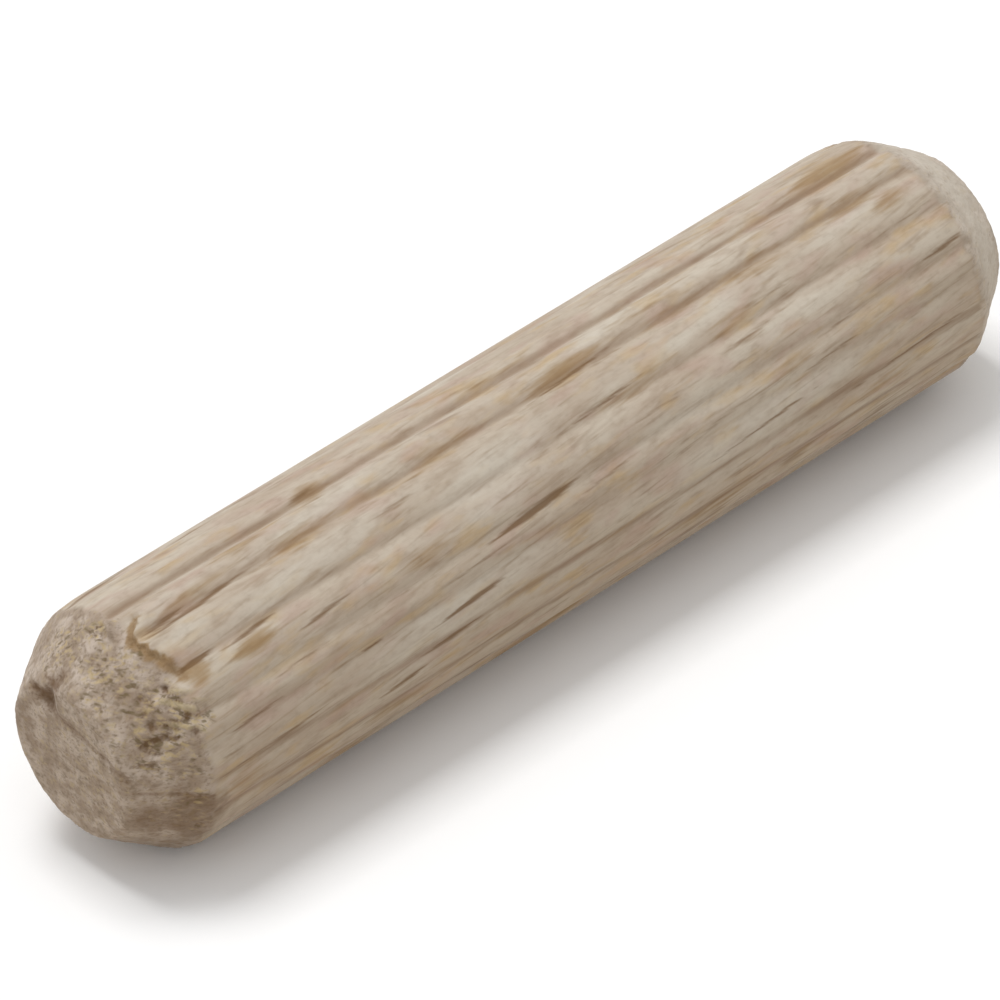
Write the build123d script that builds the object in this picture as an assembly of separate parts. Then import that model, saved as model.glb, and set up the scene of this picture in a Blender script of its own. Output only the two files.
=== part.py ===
from build123d import *
import os
from math import asin, cos, pi, sin, sqrt

# A fluted hardwood dowel for gluing furniture boards together. It is one piece, turned from a
# rod: straight grooves are pressed along its whole length, and both ends are chamfered so that
# it starts in its hole. It lies along X, on the two ridges beside its lowest groove. The middle
# of its length is at X 0, its axis is above Y 0 and what it lies on is at Z 0. Millimetres.

# Rod, measured over the crests of its ridges
diameter = 8.0
length = 35.0

# Ridges: pressing the grooves crowns them, so each is two flanks that fall from a crest. A flank
# has the rod's own radius, about a centre that lies this far to the other side of the crest.
flute_count = 20
flank_offset = 0.495

# Grooves between the ridges, as wide as this at the mouth and as deep as this below the crests
groove_width = 0.68
groove_depth = 0.18

# Ends
chamfer_length = 2.1
chamfer_depth = 1.5
end_corner_radius = 0.4

# How far outside the rod the cones of the ends are drawn, so that they cut through its ridges
cutting_margin = 0.5

radius = diameter / 2
pitch_angle = 2 * pi / flute_count
half_mouth_angle = asin(groove_width / diameter)


def at(distance, angle):
    """A point of the section: its distance from the axis, and its angle, from 0 straight down."""
    return Vector(distance * sin(angle), -distance * cos(angle))


def flank_centre(ridge, side):
    """The centre of a ridge's flank. The side is 1 for the flank at larger angles, and else -1."""
    drop = radius - sqrt(radius**2 - flank_offset**2)
    return at(drop, ridge) - at(side * flank_offset, ridge + pi / 2)


def on_flank(ridge, side, angle):
    """The point of a ridge's flank at an angle of the section."""
    ray = at(1, angle)
    centre = flank_centre(ridge, side)
    nearest = ray.dot(centre)
    return ray * (nearest + sqrt(nearest**2 + radius**2 - centre.dot(centre)))


def flank(ridge, side, mouth_angle):
    """The arc from a ridge's crest to the mouth of the groove on that side."""
    middle_angle = (ridge + mouth_angle) / 2
    return ThreePointArc(
        at(radius, ridge), on_flank(ridge, side, middle_angle), on_flank(ridge, side, mouth_angle)
    )


def ridge_and_groove(ridge):
    """The section's outline over the ridge at an angle and through the groove that follows it."""
    groove = ridge + pitch_angle / 2
    low_flank = flank(ridge, -1, groove - pitch_angle + half_mouth_angle)
    high_flank = flank(ridge, 1, groove - half_mouth_angle)
    far_mouth = on_flank(ridge + pitch_angle, -1, groove + half_mouth_angle)
    groove_arc = ThreePointArc(high_flank @ 1, at(radius - groove_depth, groove), far_mouth)
    return [low_flank, high_flank, groove_arc]


def double_cone():
    """The turned shape of the two ends: blunt cones that widen past the rod's own surface."""
    end = length / 2
    end_face_radius = radius - chamfer_depth
    wide_radius = radius + cutting_margin
    wide_end = end - chamfer_length * (wide_radius - end_face_radius) / chamfer_depth
    profile = FilletPolyline(
        (-end, 0),
        (-end, end_face_radius),
        (-wide_end, wide_radius),
        (wide_end, wide_radius),
        (end, end_face_radius),
        (end, 0),
        radius=[end_corner_radius, 0, 0, end_corner_radius],
    )
    axis_line = Line(profile @ 1, profile @ 0)
    return revolve(make_face([profile, axis_line]), axis=Axis.X)


# The rod's section, with a groove at its lowest point, and the rod along X, square at both ends
outline = []
for flute in range(flute_count):
    outline += ridge_and_groove((flute + 0.5) * pitch_angle)
section = make_face(outline)
grooved_rod = extrude(Plane.YZ.offset(-length / 2) * section, length)

# Both ends cut to their cones, and the dowel set down on its ridges
axis_height = -section.bounding_box().min.Y
dowel = Pos(Z=axis_height) * (grooved_rod & double_cone())
dowel.label = "dowel"
print(f"axis height {axis_height:.5f} mm")

os.makedirs("parts", exist_ok=True)
export_step(dowel, "parts/dowel.step")
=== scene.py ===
import random
from math import atan2, cos, exp, hypot, pi, radians, sin

import bmesh
import bpy
from mathutils import Matrix, Vector, noise


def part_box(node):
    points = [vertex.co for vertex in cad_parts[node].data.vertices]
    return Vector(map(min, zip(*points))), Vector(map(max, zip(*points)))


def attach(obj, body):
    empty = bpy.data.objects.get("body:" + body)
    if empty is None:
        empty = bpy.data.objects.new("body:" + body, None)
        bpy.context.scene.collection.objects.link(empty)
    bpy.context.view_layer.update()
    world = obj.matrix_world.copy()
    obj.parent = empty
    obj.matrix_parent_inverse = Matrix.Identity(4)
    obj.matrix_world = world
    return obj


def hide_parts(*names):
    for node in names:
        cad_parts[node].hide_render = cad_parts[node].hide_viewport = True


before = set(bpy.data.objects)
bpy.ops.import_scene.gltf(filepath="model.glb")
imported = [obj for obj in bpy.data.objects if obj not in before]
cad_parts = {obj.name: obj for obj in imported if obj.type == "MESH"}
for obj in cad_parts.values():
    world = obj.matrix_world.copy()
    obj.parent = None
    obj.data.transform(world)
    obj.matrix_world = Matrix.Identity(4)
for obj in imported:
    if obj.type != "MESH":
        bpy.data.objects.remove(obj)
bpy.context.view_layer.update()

# The dowel: one short length of steamed beech rod. Pressing the rod through a die crowns it into
# ridges with shallow glue grooves between them. It is sawn to length, and a grinding wheel
# chamfers its ends, which tears the fibres where they are cut across.

# The height of its axis is in metres, and its other sizes are in millimetres. Angles round it are
# in degrees from its top towards the side that is nearest to the camera.
mm = 0.001
lowest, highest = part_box("dowel")
axis_height = (lowest[2] + highest[2]) / 2
half_length = (highest[0] - lowest[0]) / 2 / mm
half_height = (highest[2] - lowest[2]) / 2 / mm
rod_radius = 4.0
crest_radius = 3.96
end_face_radius = 2.5
chamfer_length = 2.1
end_rounding = 0.2
shoulder_rounding = 0.35

groove_count = 20
groove_pitch = 360 / groove_count
first_groove = 1 - groove_count // 2
deepest_groove = 0.24
valley_rounding = 0.1

# How far a groove wanders to each side of its place, in degrees, and the painted shade along its
# bottom, with some dirt in it: how wide it is, and how far it lies to the side of smaller angles
groove_wander = 0.6
dark_width = 0.18
dark_offset = 0.08


def smooth(value):
    """Eases a value from 0 to 1, and holds it there outside them."""
    value = min(max(value, 0), 1)
    return value * value * (3 - 2 * value)


def on_rod(x, angle, radius):
    """A point at a distance from the rod's axis."""
    return Vector((x, -radius * sin(radians(angle)), radius * cos(radians(angle))))


# Every run makes the same dowel: its random draws and the jags of its pits start from set numbers
chance = random.Random(4)
noise.seed_set(4)

# Each groove was pressed a little differently: how far it is turned from its even place, in
# degrees, its depth, and how dark the painted shade along its bottom is. Groove 0 is on top, and
# they count towards the side that is nearest to the camera.
grooves = {}
for count in range(first_groove, first_groove + groove_count):
    turn = chance.uniform(-1, 1)
    depth = chance.uniform(0.17, deepest_groove)
    darkness = depth * 5
    grooves[count] = (turn, depth, darkness)
grooves.update({
    -2: (1, 0.10, 0.2),
    -1: (0, 0.05, 0.0),
    0: (-5, 0.23, 1.0),
    1: (-4, 0.21, 0.8),
    2: (1, 0.15, 0.5),
    3: (4, 0.12, 0.3),
    4: (0, 0.12, 0.3),
    5: (0, 0.11, 0.9),
    6: (0, 0.12, 0.9),
})


def rod_surface(x, angle):
    """How far the pressed rod's surface is from its axis, the painted shade of its groove, and how
    burnished it is.
    """
    # In the noise, x is divided by the length of a change, and the rest tells the grooves apart
    nearest = groove_pitch
    middle = round(angle / groove_pitch)
    for count in (middle - 1, middle, middle + 1):
        turn, depth, darkness = grooves[(count - first_groove) % groove_count + first_groove]
        wander = groove_wander * noise.noise(Vector((x / 6, count * 3.7, 0)))
        apart = angle - count * groove_pitch - turn - wander
        if abs(apart) < abs(nearest):
            nearest = apart
            pressed = (count, depth, darkness)
    count, depth, darkness = pressed
    from_valley = radians(nearest) * rod_radius
    half_ridge = radians(groove_pitch / 2) * rod_radius
    softened = hypot(from_valley, valley_rounding) - 0.5 * valley_rounding
    flank = max(1 - softened / half_ridge, 0)
    wear = 1 + 0.3 * noise.noise(Vector((x / 4, count * 5.1, 8)))
    patchy = 0.7 + 0.3 * smooth(0.6 + 1.3 * noise.noise(Vector((x / 2.2, count * 2.3, 3))))
    # The painted shade along the groove's bottom, with some dirt in it, set a little towards
    # smaller angles
    dark = darkness * patchy * exp(-((from_valley + dark_offset) / dark_width) ** 2)
    burnished = (1 - flank) ** 2 * depth / deepest_groove
    return crest_radius - depth * wear * flank ** 2, dark, burnished


# Marks on the rod, which are lens-shaped: place along it, angle, length, width and strength.
# The flecks are the dark ends of rays, which come to the surface on the side towards the camera.
flecks_and_edge_shade = [
    (-2.2, 58, 5.2, 0.30, 1.0), (-5.2, 78, 4.1, 0.23, 1.0), (-6.2, 90, 3.2, 0.23, 0.9),
    (-8.2, 97, 2.5, 0.18, 0.8), (-13.4, 71, 3.2, 0.15, 0.7), (-9.0, 72, 1.6, 0.15, 0.6),
    (-10.0, 48, 3.4, 0.18, 0.8), (-12.4, 38, 3.0, 0.24, 0.8), (-14.4, 37, 1.8, 0.26, 0.9),
    (-13.2, 15, 5.1, 0.28, 0.8), (-14.3, 13, 2.5, 0.26, 0.8), (1.6, 34, 3.9, 0.16, 0.8),
    (0.4, 62, 2.5, 0.15, 0.7), (6.0, 81, 6.2, 0.15, 0.8), (9.4, 68, 3.9, 0.15, 0.7),
    (12.7, 88, 6.9, 0.15, 0.8), (-13.3, 87, 5.1, 0.15, 0.6), (14.8, 53, 3.4, 0.18, 0.9),
    (8.7, 31, 2.1, 0.15, 0.6), (-1.2, 107, 4.4, 0.28, 0.5), (7.8, 110, 2.3, 0.37, 0.6),
    (2.2, 93, 2.3, 0.20, 0.5), (5.0, 67, 3.2, 0.15, 0.5), (-4.6, 65, 2.8, 0.15, 0.5),
    (-12.0, 103, 3.4, 0.18, 0.5), (12.0, 75, 3.4, 0.15, 0.5), (3.2, 48, 3.2, 0.15, 0.5),
    (-7.6, 59, 2.8, 0.15, 0.5), (1.4, 14, 4.6, 0.18, 0.8), (-7.8, -8, 1.6, 0.24, 0.7),
    (10.2, 58, 3.0, 0.15, 0.5), (-11.5, 60, 3.4, 0.15, 0.5), (14.2, 34, 3.0, 0.15, 0.5),
    (-6.0, 24, 3.7, 0.15, 0.4), (7.0, 42, 3.4, 0.15, 0.4), (-14.6, 80, 1.8, 0.15, 0.6),
    # These last four, wide and along the underside, are painted shade along the dowel's lower edge
    (3.0, 118, 8.0, 0.45, 0.5), (-6.5, 119, 6.0, 0.40, 0.5), (11.0, 117, 6.0, 0.45, 0.5),
    (-12.0, 117, 4.0, 0.35, 0.4),
]

# The patches are golden, where a ray lies flat in the surface
patches = [
    (-12.5, 44, 2.4, 0.9, 0.9), (1.4, 11, 4.2, 1.0, 0.9), (13.6, -11, 4.4, 1.5, 1.0),
    (-7.6, -6, 2.0, 1.2, 0.8), (-14.6, 42, 1.4, 1.2, 0.9), (5.0, 3, 6.0, 0.8, 0.3),
    (0.0, -10, 4.0, 1.0, 0.3), (-10.5, 0, 4.0, 0.8, 0.5), (9.0, 16, 5.0, 1.0, 0.5),
    (-9.0, 13, 4.0, 0.8, 0.7), (4.6, 108, 6.0, 1.2, 0.6), (-14.2, 97, 2.6, 1.2, 0.7),
    (-8.2, 111, 4.0, 1.0, 0.5), (11.5, 96, 4.0, 0.8, 0.5), (6.8, 33, 3.0, 0.8, 0.5),
    (14.0, 24, 2.6, 1.0, 0.6), (-3.5, 14, 5.0, 0.7, 0.5), (5.5, 14, 4.0, 0.7, 0.5),
    (-13.0, 10, 4.0, 0.7, 0.6), (3.0, 35, 5.0, 0.6, 0.5), (13.0, 14, 3.6, 0.8, 0.7),
    (-6.0, 50, 3.0, 0.8, 0.5), (8.0, 62, 3.0, 0.8, 0.5), (10.0, 5, 3.0, 0.8, 0.3),
]

# The pales are the light backs of ridges
pales = [
    (-9.5, 27, 12.0, 1.4, 0.7), (-2.5, 33, 8.0, 1.8, 0.8), (-3.0, 45, 7.0, 1.2, 0.7),
    (6.0, 25, 10.0, 1.2, 0.6), (-8.0, 5, 10.0, 1.0, 0.7), (3.0, 4, 9.0, 0.8, 0.7),
    (9.0, 44, 7.0, 1.6, 0.5), (-11.0, 60, 7.0, 1.2, 0.5), (4.0, 58, 8.0, 1.4, 0.5),
    (-14.0, 25, 3.0, 1.2, 0.7), (12.0, 22, 6.0, 1.0, 0.6), (-6.0, 80, 12.0, 2.4, 0.8),
    (6.0, 82, 14.0, 2.4, 0.8),
]

# The same on the far side and underneath, where the wood goes on in its own way: how many, and the
# least and most that their lengths and widths are
for marks, count, lengths, widths in (
    (flecks_and_edge_shade, 60, (2.0, 5.5), (0.15, 0.26)),
    (patches, 30, (2.0, 6.0), (0.5, 1.2)),
    (pales, 24, (5.0, 11.0), (0.9, 1.6)),
):
    for mark in range(count):
        middle = chance.uniform(-14.6, 14.6)
        angle = chance.uniform(126, 332)
        length = chance.uniform(*lengths)
        width = chance.uniform(*widths)
        strength = chance.uniform(0.4, 0.9)
        marks.append((middle, angle, length, width, strength))

# The fibres turn about the rod by this much along it, in degrees per millimetre, and so does a mark
fibre_climb = -1.2


def mark_strength(marks, x, angle):
    """How strong the strongest of the marks is at a place on the rod."""
    strongest = 0
    for middle, middle_angle, length, width, strength in marks:
        along = (x - middle) * 2 / length
        if -1 < along < 1:
            turned = (angle - middle_angle - fibre_climb * (x - middle) + 180) % 360 - 180
            taper = 1 - along * along
            across = abs(radians(turned)) * rod_radius * 2 / (width * taper ** 1.5)
            if across < 1:
                strongest = max(strongest, strength * taper * (1 - across * across))
    return strongest


def spots(rows):
    """Round spots: each row is a place along the rod, an angle, a distance from the axis, and the
    spot's size and depth or strength."""
    return [(on_rod(x, angle, radius), size, much) for x, angle, radius, size, much in rows]


# Pits torn in the left end
pits = spots([
    (-17.2, -11, 2.75, 0.28, 0.10), (-17.4, -15, 2.55, 0.36, 0.15), (-17.5, -21, 2.20, 0.32, 0.15),
    (-17.5, -36, 2.40, 0.22, 0.13), (-17.5, -31, 2.10, 0.30, 0.16), (-17.5, -25, 1.85, 0.34, 0.17),
    (-15.7, -5, 3.8, 0.16, 0.08), (-15.8, 0, 3.7, 0.14, 0.08), (-15.7, 40, 3.8, 0.15, 0.14),
    (-15.8, 47, 3.75, 0.17, 0.15), (-15.5, 55, 3.9, 0.14, 0.12), (-15.5, 63, 3.9, 0.13, 0.12),
    (-14.9, 55, 4.0, 0.11, 0.08), (-16.3, 37, 3.35, 0.13, 0.09), (-16.4, 45, 3.3, 0.12, 0.09),
    (-16.4, 52, 3.3, 0.16, 0.10), (-16.7, 60, 3.05, 0.16, 0.11), (-16.2, 60, 3.45, 0.14, 0.10),
    (-16.6, 66, 3.2, 0.12, 0.09), (-16.8, 72, 3.0, 0.15, 0.09), (-16.5, 8, 3.2, 0.10, 0.06),
    (-16.9, 22, 2.9, 0.14, 0.05), (-16.8, 41, 3.0, 0.10, 0.05), (-17.5, 58, 0.5, 0.12, 0.05),
    (-15.8, 115, 3.75, 0.12, 0.07), (-17.0, -22, 2.9, 0.12, 0.05), (-17.5, 120, 1.5, 0.12, 0.05),
])

# Slivers of fibre that stand up beside the pits, and cracks, as two ends, width and height. An
# end is a place along the rod, an angle and a distance from the axis, as for a spot.
slivers = [
    ((-15.9, 44, 3.65), (-15.3, 54, 4.0), 0.13, 0.09),
    ((-15.6, 42, 3.85), (-15.1, 47, 4.0), 0.10, 0.07),
    ((-15.5, 58, 3.95), (-15.2, 66, 4.0), 0.11, 0.06),
    ((-16.0, 55, 3.60), (-15.6, 60, 3.85), 0.10, 0.07),
    ((-15.2, 50, 4.0), (-14.8, 53, 4.0), 0.10, 0.05),
    ((-16.0, -12, 3.55), (-15.7, -7, 3.8), 0.12, 0.04),
    ((-17.2, 88, 2.75), (-16.3, 92, 3.35), 0.13, -0.04),
    ((-16.1, 93, 3.5), (-15.5, 96, 3.95), 0.16, -0.02),
    # A wide ray crosses the end face from the large pit
    ((-17.5, -24, 1.7), (-17.5, 13, 1.4), 0.18, -0.03),
    ((-17.5, 13, 1.4), (-17.5, 61, 2.0), 0.18, -0.03),
    ((-17.5, 61, 2.0), (-17.4, 77, 2.6), 0.18, -0.03),
]
sliver_lines = []
for start, stop, width, height in slivers:
    line = on_rod(*stop) - on_rod(*start)
    sliver_lines.append((on_rod(*start), line, line.length_squared, width, height))

# The fibres of the left end are torn in the direction of its first sliver
tear = sliver_lines[0][1].normalized()

# Where the left end is crumbled, and where it is stained, partly as painted shade on the lower side
# of its chamfer
crumbled = spots([
    (-15.8, 50, 3.7, 0.65, 1.0), (-16.5, 60, 3.2, 0.55, 0.9), (-15.3, 58, 4.0, 0.40, 0.9),
    (-16.1, 40, 3.5, 0.45, 0.7), (-15.8, -4, 3.7, 0.40, 1.0), (-17.0, -22, 2.9, 0.30, 0.5),
    (-16.8, 73, 3.0, 0.30, 0.8), (-15.8, 96, 3.7, 0.35, 0.6), (-15.8, 115, 3.75, 0.30, 0.5),
    (-15.9, 80, 3.65, 0.50, 0.5), (-16.6, 18, 3.1, 1.20, 0.60), (-16.4, -20, 3.2, 0.90, 0.60),
    (-16.4, 62, 3.2, 1.10, 0.60), (-16.3, 104, 3.3, 1.00, 0.30), (-17.5, 50, 1.2, 1.50, 0.30),
    (-17.5, 130, 1.3, 1.20, 0.30),
])
stained_and_shaded = spots([
    (-16.3, 107, 3.4, 1.30, 1.0), (-16.4, 52, 3.2, 0.85, 0.50), (-16.5, 22, 3.2, 0.70, 0.50),
    (-17.4, -80, 2.4, 0.80, 0.45), (-16.2, 140, 3.4, 1.30, 0.60),
])


def spot_strength(some_spots, place, edge):
    """How strong the strongest of some spots is at a place, with their edges moved out by edge."""
    strongest = 0
    for point, size, strength in some_spots:
        apart = (place - point).length / size
        strongest = max(strongest, strength * smooth(1.4 + edge - apart))
    return strongest


# A ridge broke away at the left end: the angles where the break starts and stops, how far its step
# is from the end, and how deep it is. Beside it the fibres are torn into shreds.
break_start = -1
break_stop = 45
step_from_end = 2.15
step_depth = 0.18
shred_length = 0.45
shred_width = 0.14
shred_height = 0.10


def broken_end(place, angle, from_end):
    """How far the left end's surface stands out at a place, and how strong each mark is there."""
    # The step, which is ragged and curves away from the end at both sides, and its golden shelf,
    # which also holds the step's painted shadow
    edge = step_from_end + 0.12 * noise.noise(Vector((angle / 3, 0, 4)))
    edge += 0.05 * noise.noise(place / 0.25)
    edge += 0.55 * smooth((angle - 18) / 24) + 0.6 * smooth((14 - angle) / 11)
    broken = smooth((angle - break_start) / 6) * smooth((break_stop - angle) / 6)
    beyond = edge - from_end
    out = -step_depth * broken * smooth(beyond / 0.14) * smooth((from_end - 0.5) / 1.2)
    wide = 0.2 + 0.3 * noise.noise(Vector((angle / 5, 0, 7)))
    shelf_and_shadow = broken * smooth((beyond + 0.08) / 0.12) * smooth(1 - (beyond - wide) / 0.35)

    # The torn fibres, and the painted shade of the hollows where they are gone
    stretch = 1 / shred_length - 1 / shred_width
    fray = noise.noise(place / shred_width + tear * (place.dot(tear) * stretch))
    torn = spot_strength(crumbled, place, noise.noise(place / 0.35 + Vector((9, 0, 0))))
    out += torn * torn * (shred_height * fray - 0.03)
    hollow = torn * torn * smooth(0.25 - fray * 2)
    # Stain, and painted shade on the lower side of the chamfer
    stain = spot_strength(stained_and_shaded, place, 0.6 * noise.noise(place / 0.7 + Vector((5, 0, 0))))

    # The pits, which are jagged and darkened with painted shade as deep as they are, and then the
    # slivers, which lie over them and clear that shade, and the cracks, with the same painted shade
    jagged = place + 0.09 * noise.noise_vector(place / 0.16)
    for point, size, depth in pits:
        near = (jagged - point).length_squared / (size * size)
        if near < 6:
            dent = exp(-near)
            out -= depth * dent
            hollow = max(hollow, dent * min(depth / 0.12, 1))
    sliver = 0
    for start, line, length_squared, width, height in sliver_lines:
        along = min(max((place - start).dot(line) / length_squared, 0), 1)
        off = (place - start - line * along).length / width
        if off < 1:
            out += height * (1 - off * off)
            if height > 0:
                hollow *= off * off
                sliver = max(sliver, height / 0.08 * (1 - off * off))
            else:
                hollow = max(hollow, 0.55 * (1 - off * off))
    return out, hollow, stain, torn, min(sliver, 1), shelf_and_shadow


# The turned outline from one end's middle to the other's, and how close the rings of the mesh are
# on the end faces, on the chamfers and along the rod
outline = [
    (-half_length, 0),
    (-half_length, end_face_radius),
    (-half_length + chamfer_length, rod_radius),
    (half_length - chamfer_length, rod_radius),
    (half_length, end_face_radius),
    (half_length, 0),
]
face_step = 0.115
chamfer_step = 0.08
rod_step = 0.2
steps_around = 360

body = bmesh.new()
corners = [body.verts.new((x, 0, height)) for x, height in outline]
for pair in zip(corners, corners[1:]):
    body.edges.new(pair)
for rounded, offset in (
    ([corners[1], corners[4]], end_rounding),
    ([corners[2], corners[3]], shoulder_rounding),
):
    bmesh.ops.bevel(
        body, geom=rounded, offset=offset, affect="VERTICES", segments=6, profile=0.5, material=-1
    )
for run in body.edges[:]:
    from_middle = abs(run.verts[0].co.x + run.verts[1].co.x) / 2
    step = rod_step
    if from_middle > half_length - chamfer_length - 0.1:
        step = chamfer_step
    if from_middle > half_length - 0.01:
        step = face_step
    cuts = int(run.calc_length() / step)
    if cuts:
        bmesh.ops.subdivide_edges(body, edges=[run], cuts=cuts)
bmesh.ops.spin(
    body,
    geom=body.verts[:] + body.edges[:],
    cent=(0, 0, 0),
    axis=(1, 0, 0),
    angle=2 * pi,
    steps=steps_around,
    use_merge=True,
)
bmesh.ops.remove_doubles(body, verts=body.verts[:], dist=0.0005)
bmesh.ops.recalc_face_normals(body, faces=body.faces[:])
body.normal_update()

names = ("fleck_and_edge_shade", "patch", "pale", "groove", "cut", "hollow", "stain", "torn", "sliver")
layers = {name: body.verts.layers.float.new(name) for name in names}

# How high the fibres stand on the rod, how high broken fibres and saw marks stand on its ends, how
# far its shoulders are worn, how deep the flecks are, and how far off centre and towards which
# angle its left end is cut
fibre_relief = 0.006
speckle_relief = 0.02
saw_relief = 0.025
shoulder_wear = 0.06
fleck_depth = 0.012
off_centre = 0.1
off_centre_angle = -140

for vertex in body.verts:
    place = vertex.co.copy()
    facing = vertex.normal.copy()
    x, y, z = place
    from_axis = hypot(y, z)
    angle = atan2(-y, z) * 180 / pi
    from_end = half_length - abs(x)
    left = x < 0

    # The pressed rod, with the slight relief of its fibres
    fibres = noise.noise(Vector((x / 4, y / 0.35, z / 0.35)))
    fibres += 0.6 * noise.noise(Vector((x / 2, y / 0.16, z / 0.16)))
    surface, groove, burnished = rod_surface(x, angle)
    radius = from_axis
    if from_axis > end_face_radius - 0.3:
        radius = min(from_axis, surface + fibre_relief * fibres)

    # The sawn and ground end, with a ragged edge, rough where fibres broke off, and its shoulder,
    # which is worn round on the side away from the camera
    past_edge = from_end - chamfer_length + 0.12 + 0.16 * noise.noise(place * 3.1)
    cut = smooth(1 - past_edge / 0.3)
    speckle = noise.noise(Vector((x / 0.35, y / 0.17, z / 0.17)))
    rough = cut * (speckle_relief * speckle + saw_relief * noise.noise(place / 0.55))
    at_shoulder = exp(-((from_end - chamfer_length) / 0.5) ** 2)
    rough -= shoulder_wear * at_shoulder * smooth((10 - angle) / 40)

    # The marks painted at each vertex, among them painted shade in the grooves, along the lower
    # edge and at the left end, and a painted sheen on the other chamfer
    painted = {
        "cut": cut,
        "groove": groove * (1 - cut),
        "fleck_and_edge_shade": mark_strength(flecks_and_edge_shade, x, angle) * (1 - cut),
        "patch": mark_strength(patches, x, angle) * (1 - 0.6 * cut),
        "pale": max(mark_strength(pales, x, angle), 0.5 * burnished) * (1 - cut),
    }
    if left and from_end < 4:
        raised, hollow, stain, torn, sliver, shelf_and_shadow = broken_end(place, angle, from_end)
        rough += raised
        # The shelf is painted golden brown, and darkened a little as the step's painted shadow
        painted["patch"] = max(painted["patch"], shelf_and_shadow)
        painted["hollow"] = max(hollow, 0.3 * shelf_and_shadow)
        painted["stain"] = stain
        painted["torn"] = torn
        painted["sliver"] = sliver
    elif not left:
        # The other chamfer is painted paler as painted sheen, most across its middle
        painted_sheen = 0.6 + 0.3 * smooth(from_end / 0.9) - 0.35 * smooth((from_end - 1.1) / 0.9)
        painted["pale"] = max(painted["pale"], cut * painted_sheen)

    # The middle of an end face stays on the axis, and nothing passes the CAD dowel's box
    if from_axis > 0.01:
        vertex.co.y *= (radius - fleck_depth * painted["fleck_and_edge_shade"]) / from_axis
        vertex.co.z *= (radius - fleck_depth * painted["fleck_and_edge_shade"]) / from_axis
    vertex.co += facing * rough
    if left and from_end < chamfer_length:
        shift = off_centre * (1 - from_end / chamfer_length)
        vertex.co += on_rod(0, off_centre_angle, shift)
    vertex.co.x = min(max(vertex.co.x, -half_length), half_length)
    vertex.co.z = min(max(vertex.co.z, -half_height), half_height)
    for name, strength in painted.items():
        vertex[layers[name]] = strength

bmesh.ops.scale(body, verts=body.verts[:], vec=(mm, mm, mm))
bmesh.ops.translate(body, verts=body.verts[:], vec=(0, 0, axis_height))

mesh = bpy.data.meshes.new("fluted_dowel")
body.to_mesh(mesh)
body.free()
mesh.shade_smooth()
dowel = bpy.data.objects.new("fluted_dowel", mesh)
bpy.context.scene.collection.objects.link(dowel)


def linear(colour):
    """The linear colour of an sRGB hex value."""
    parts = [int(colour[i:i + 2], 16) / 255 for i in (1, 3, 5)]
    return [c / 12.92 if c <= 0.04045 else ((c + 0.055) / 1.055) ** 2.4 for c in parts] + [1]


def node(tree, kind, settings, links):
    """Adds a node with its settings, and its inputs as values or as the sockets that feed them."""
    made = tree.nodes.new(kind)
    for name, value in settings.items():
        setattr(made, name, value)
    for name, value in links.items():
        if isinstance(value, bpy.types.NodeSocket):
            tree.links.new(value, made.inputs[name])
        else:
            made.inputs[name].default_value = value
    return made


# Steamed beech, planed by the die and never finished: matt and dry, greyish cream with pink and
# yellow tints, fine fibres along the rod, and brown flecks where its rays come to the surface.
# Cut across, it is greyer and pinker, speckled with pores, and ruled with rays from back to front.
beech = bpy.data.materials.new("steamed_beech")
beech.use_nodes = True
tree = beech.node_tree
tree.nodes.clear()
in_wood = node(tree, "ShaderNodeTexCoord", {}, {}).outputs["Object"]

# The grain: how long each kind of feature is along the fibres, how thick between the rays and how
# deep along them, in millimetres, and how much finer detail it has. The fibres climb a little
# along the rod, and the rays run from its back to its front. Beech pores are 0.06 wide and are
# drawn so. Its fibres are 0.02 wide, too fine to show, so the streaks are bundles of seven.
along_fibres = (radians(95), radians(-4), 0)
across_fibres = Vector((1, 0, 0)).rotation_difference(tear).to_euler()
grain = {}
for name, turned, long, thick, deep, detail in (
    ("rings", along_fibres, 24.0, 5.0, 0.9, 1.0),
    ("mottle", along_fibres, 3.6, 0.7, 0.9, 2.0),
    ("clouds", along_fibres, 1.1, 0.28, 0.4, 2.0),
    ("tint", along_fibres, 1.7, 0.42, 0.6, 2.0),
    ("blush", along_fibres, 1.7, 0.5, 0.8, 1.0),
    ("streaks", along_fibres, 2.2, 0.14, 0.2, 2.0),
    ("pores", along_fibres, 0.7, 0.06, 0.07, 1.0),
    ("rays", along_fibres, 2.6, 0.12, 1.2, 1.0),
    ("end blotches", along_fibres, 0.7, 0.5, 0.55, 2.0),
    ("end specks", along_fibres, 0.3, 0.19, 0.21, 2.0),
    ("end pores", along_fibres, 0.16, 0.09, 0.10, 1.0),
    ("end rays", along_fibres, 3.0, 0.10, 1.3, 1.0),
    ("shreds_and_pit_shade", across_fibres, 0.30, 0.14, 0.14, 1.0),
):
    stretched = node(tree, "ShaderNodeMapping", {"vector_type": "TEXTURE"}, {
        "Vector": in_wood, "Rotation": turned, "Scale": (long * mm, thick * mm, deep * mm),
    })
    grain[name] = node(tree, "ShaderNodeTexNoise", {}, {
        "Vector": stretched.outputs[0], "Scale": 1.0, "Detail": detail, "Roughness": 0.55,
    }).outputs["Fac"]

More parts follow.
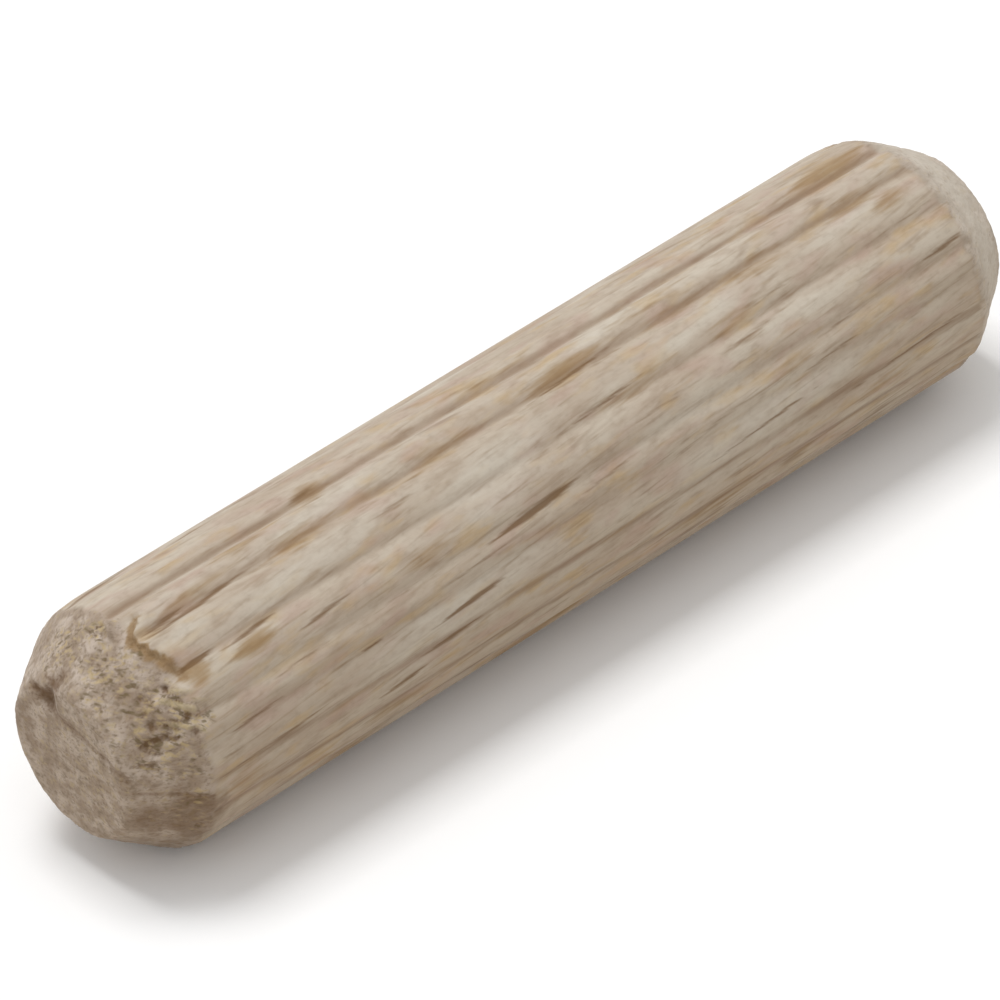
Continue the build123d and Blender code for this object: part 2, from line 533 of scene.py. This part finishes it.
# The marks of the mesh, with edges made ragged by the grain: which grain, and how much
ragged = {}
for name, texture, raggedness in (
    ("pale", "clouds", 0.9),
    ("groove", "streaks", 0.6),
    ("patch", "streaks", 1.3),
    ("fleck_and_edge_shade", "streaks", 1.3),
    ("cut", "end blotches", 0.0),
    ("stain", "end specks", 1.2),
    ("hollow", "end pores", 0.5),
    ("sliver", "end pores", 0.5),
):
    mark = node(tree, "ShaderNodeAttribute", {"attribute_name": name}, {})
    centred = node(tree, "ShaderNodeMath", {"operation": "SUBTRACT"}, {0: grain[texture], 1: 0.5})
    ragged[name] = node(tree, "ShaderNodeMath", {"operation": "MULTIPLY_ADD"}, {
        0: centred.outputs[0], 1: raggedness, 2: mark.outputs["Fac"],
    }).outputs[0]

# Torn fibres are light above 0, and dark below it as painted shade in the pits between them, and
# only where the end is crumbled
torn = node(tree, "ShaderNodeAttribute", {"attribute_name": "torn"}, {})
centred = node(tree, "ShaderNodeMath", {"operation": "SUBTRACT"}, {0: grain["shreds_and_pit_shade"], 1: 0.5})
shreds_and_pit_shade = node(tree, "ShaderNodeMath", {"operation": "MULTIPLY"}, {
    0: centred.outputs[0], 1: torn.outputs["Fac"],
}).outputs[0]

# The colours of both cuts of the wood, and of its marks, each laid over those before it: what it
# follows, where on that it starts and where it is full, how strong it is there, and the colour
long_grain = [
    (grain["mottle"], 0.34, 0.66, 1.0, "#C3B7A6"),
    (grain["rings"], 0.46, 0.60, 0.25, "#A6937E"),
    (grain["clouds"], 0.50, 0.26, 0.42, "#9B8773"),
    (grain["tint"], 0.50, 0.74, 0.65, "#BA9F76"),
    (grain["blush"], 0.50, 0.28, 0.4, "#B39688"),
    (grain["streaks"], 0.50, 0.76, 0.10, "#8A725B"),
    (grain["rays"], 0.62, 0.80, 0.4, "#7E654C"),
    (grain["pores"], 0.52, 0.76, 0.10, "#7A644F"),
    (grain["pores"], 0.46, 0.24, 0.08, "#D6CCBD"),
]
end_grain = [
    (grain["end blotches"], 0.36, 0.64, 1.0, "#C2B3A5"),
    (grain["rings"], 0.50, 0.58, 0.2, "#8F7D6A"),
    (grain["end rays"], 0.56, 0.70, 0.25, "#877462"),
    (grain["end specks"], 0.50, 0.28, 0.6, "#81705B"),
    (grain["end specks"], 0.54, 0.74, 0.55, "#C3B18C"),
    (grain["end pores"], 0.52, 0.72, 0.4, "#72604E"),
]
# Of these marks, the groove lines, the hollows and the dark of the shreds are painted shade; the
# flecks, the stain and the shelf in the patch hold some painted shade, and the pale holds a painted
# sheen
marks_on_both = [
    (ragged["pale"], 0.05, 1.10, 0.75, "#CCC4B6"),
    (ragged["patch"], 0.05, 1.00, 0.8, "#97794F"),
    (ragged["groove"], 0.05, 1.10, 0.64, "#80644A"),
    (ragged["fleck_and_edge_shade"], 0.05, 0.85, 0.82, "#725433"),
    (ragged["stain"], -0.15, 1.45, 0.85, "#70573E"),
    (shreds_and_pit_shade, 0.0, 0.13, 0.7, "#BBA67C"),
    (shreds_and_pit_shade, 0.0, -0.13, 0.7, "#63532F"),
    (ragged["hollow"], 0.05, 1.00, 0.8, "#634627"),
    (ragged["sliver"], 0.05, 1.00, 0.5, "#BCAC88"),
]

# Each cut is laid up by itself, and then the marks over the two of them together. In a mix of two
# colours, socket 0 is the share of the second, and sockets 6 and 7 are the colours.
laid = []
for base, colours in (("#B8A896", long_grain), ("#A39180", end_grain), (None, marks_on_both)):
    if base:
        wood = linear(base)
    else:
        wood = node(tree, "ShaderNodeMix", {"data_type": "RGBA"}, {
            0: ragged["cut"], 6: laid[0], 7: laid[1],
        }).outputs[2]
    for source, start, full, strength, colour in colours:
        share = node(tree, "ShaderNodeMapRange", {"interpolation_type": "SMOOTHSTEP"}, {
            "Value": source, "From Min": start, "From Max": full, "To Max": strength,
        })
        wood = node(tree, "ShaderNodeMix", {"data_type": "RGBA"}, {
            0: share.outputs[0], 6: wood, 7: linear(colour),
        }).outputs[2]
    laid.append(wood)

# The fibres and pores are felt as well as seen
relief = node(tree, "ShaderNodeMath", {"operation": "ADD"}, {
    0: grain["streaks"], 1: grain["pores"],
})
bump = node(tree, "ShaderNodeBump", {}, {
    "Strength": 0.2, "Distance": 0.03 * mm, "Height": relief.outputs[0],
})
shader = node(tree, "ShaderNodeBsdfPrincipled", {}, {
    "Base Color": wood, "Roughness": 0.8, "IOR": 1.5, "Specular IOR Level": 0.3,
    "Sheen Weight": 0.1, "Sheen Roughness": 0.5, "Normal": bump.outputs[0],
})
node(tree, "ShaderNodeOutputMaterial", {}, {"Surface": shader.outputs[0]})
mesh.materials.append(beech)

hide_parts("dowel")
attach(dowel, "root")

# The floor: a sheet of matt white card that the dowel lies on, cut much larger than what the
# camera sees of it, so that it has no edge in the picture.

floor_size = 1.2
card = bmesh.new()
bmesh.ops.create_grid(card, x_segments=1, y_segments=1, size=floor_size / 2)
floor_mesh = bpy.data.meshes.new("floor")
card.to_mesh(floor_mesh)
card.free()
floor = bpy.data.objects.new("floor", floor_mesh)
bpy.context.scene.collection.objects.link(floor)


def seen(tree):
    """1 where a thing is seen, directly, in a shiny one or through a clear one, and else 0."""
    ray = node(tree, "ShaderNodeLightPath", {}, {})
    either = ray.outputs["Is Camera Ray"]
    for way in ("Is Glossy Ray", "Is Transmission Ray"):
        either = node(tree, "ShaderNodeMath", {"operation": "MAXIMUM"}, {
            0: either, 1: ray.outputs[way],
        }).outputs[0]
    return either


# Matt white card, bleached and uncoated. It shows as white, but throws back a little less light on
# the dowel, so that its underside stays dark.
paper = bpy.data.materials.new("white_card")
paper.use_nodes = True
tree = paper.node_tree
tree.nodes.clear()
tone = node(tree, "ShaderNodeMix", {"data_type": "RGBA"}, {
    0: seen(tree), 6: linear("#CFC6B9"), 7: linear("#FFFFFF"),
})
matt = node(tree, "ShaderNodeBsdfDiffuse", {}, {"Color": tone.outputs[2]})
node(tree, "ShaderNodeOutputMaterial", {}, {"Surface": matt.outputs[0]})
floor_mesh.materials.append(paper)

# The light: one square soft lamp above and a little behind the dowel, in an even white room. The
# room shows as white, and lights the dowel a little less.

room_strength = 0.7
lamp_power = 1.6
lamp_size = 0.25
lamp_height = 0.6
lamp_tilt = radians(-15)

room = bpy.data.worlds.new("white_room")
bpy.context.scene.world = room
room.use_nodes = True
tree = room.node_tree
tree.nodes.clear()
strength = node(tree, "ShaderNodeMix", {"data_type": "FLOAT"}, {
    0: seen(tree), 2: room_strength, 3: 1.0,
})
glow = node(tree, "ShaderNodeBackground", {}, {
    "Color": linear("#FFFFFF"), "Strength": strength.outputs[0],
})
node(tree, "ShaderNodeOutputWorld", {}, {"Surface": glow.outputs[0]})

lamp = bpy.data.lights.new("key_lamp", "AREA")
lamp.shape = "SQUARE"
lamp.size = lamp_size
lamp.energy = lamp_power
key_lamp = bpy.data.objects.new("key_lamp", lamp)
key_lamp.matrix_world = (
    Matrix.Rotation(lamp_tilt, 4, "X") @ Matrix.Translation((0, 0, lamp_height))
)
bpy.context.scene.collection.objects.link(key_lamp)

# The camera: a long lens, looking down along the dowel from beside its left end, and rolled a
# little, with the whole dowel in a square picture.

camera_place = Vector((-148.811, -182.800, 183.590)) * mm
camera_aim = Vector((-0.632, 0.216, 3.652)) * mm
camera_roll = radians(-5.389)
lens = bpy.data.cameras.new("camera")
lens.lens = 360
lens.sensor_width = 36
lens.clip_start = 0.01
camera = bpy.data.objects.new("camera", lens)
bpy.context.scene.collection.objects.link(camera)
aim = (camera_aim - camera_place).to_track_quat("-Z", "Y").to_matrix().to_4x4()
camera.matrix_world = Matrix.Translation(camera_place) @ aim @ Matrix.Rotation(camera_roll, 4, "Z")
bpy.context.scene.camera = camera
bpy.context.scene.view_settings.view_transform = "Standard"
